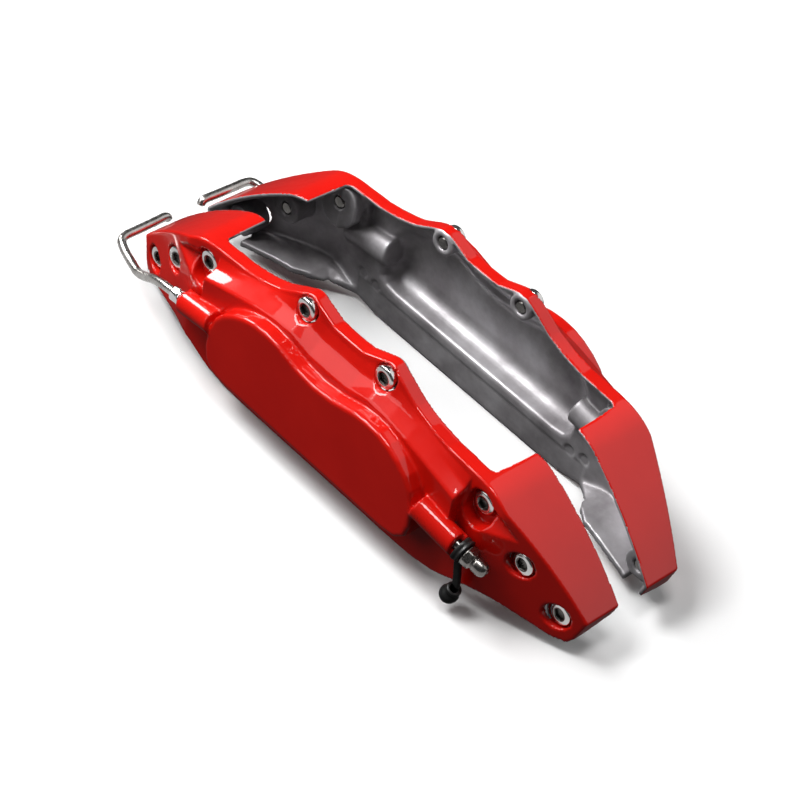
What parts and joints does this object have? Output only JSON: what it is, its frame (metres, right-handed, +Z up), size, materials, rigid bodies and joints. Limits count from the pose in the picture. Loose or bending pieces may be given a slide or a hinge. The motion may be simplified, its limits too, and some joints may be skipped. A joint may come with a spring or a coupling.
{
  "type": "brake caliper cover pair",
  "caption": "Pair of mirror-image cast brake caliper cover shells, standing back to back, with socket screws, bent fluid pipes, bleed screws and hanging rubber dust caps.",
  "frame": {"origin": "the middle of the bounding box's bottom face, on the surface that the shells' feet stand on", "axes": "+X runs along the shells towards the bleed screws, +Z is up, and the right shell lies at -Y"},
  "size_m": [0.2888, 0.1192, 0.0791],
  "materials": {
    "red_paint": "gloss red paint outside, bare die-cast aluminium inside",
    "screw_steel": "bright plated",
    "pipe_steel": "satin plated",
    "nut_steel": "bright plated",
    "dark_chrome": "dark polished",
    "rubber": "smooth black"
  },
  "bodies": {
    "covers": {"right_shell": "red_paint", "right_screw_1": "screw_steel", "right_screw_2": "screw_steel", "right_screw_3": "screw_steel", "right_screw_4": "screw_steel", "right_screw_5": "screw_steel", "right_screw_6": "screw_steel", "right_screw_7": "screw_steel", "right_screw_8": "screw_steel", "right_union_nut": "nut_steel", "right_fluid_pipe": "pipe_steel", "left_shell": "red_paint", "left_screw_1": "screw_steel", "left_screw_2": "screw_steel", "left_screw_3": "screw_steel", "left_screw_4": "screw_steel", "left_screw_5": "screw_steel", "left_screw_6": "screw_steel", "left_screw_7": "screw_steel", "left_screw_8": "screw_steel", "left_union_nut": "nut_steel", "left_fluid_pipe": "pipe_steel"},
    "right_bleed_screw": {"right_bleed_screw": "dark_chrome"},
    "right_dust_cap": {"right_dust_cap": "rubber"},
    "left_bleed_screw": {"left_bleed_screw": "dark_chrome"},
    "left_dust_cap": {"left_dust_cap": "rubber"}
  },
  "joints": [
    {"name": "right_bleed_screw_turn", "type": "hinge", "parent": "covers", "child": "right_bleed_screw", "pos_m": [0.09085, -0.0514, 0.0339], "axis": [0.9656, 0.1111, -0.2351], "range_deg": [0, 180]},
    {"name": "right_dust_cap_swing", "type": "hinge", "parent": "covers", "child": "right_dust_cap", "pos_m": [0.09085, -0.0514, 0.0339], "axis": [-0.9656, -0.1111, 0.2351], "range_deg": [0, 120]},
    {"name": "left_bleed_screw_turn", "type": "hinge", "parent": "covers", "child": "left_bleed_screw", "pos_m": [0.09085, 0.0514, 0.0339], "axis": [0.9656, -0.1111, -0.2351], "range_deg": [0, 180]},
    {"name": "left_dust_cap_swing", "type": "hinge", "parent": "covers", "child": "left_dust_cap", "pos_m": [0.09085, 0.0514, 0.0339], "axis": [0.9656, -0.1111, -0.2351], "range_deg": [0, 120]}
  ]
}
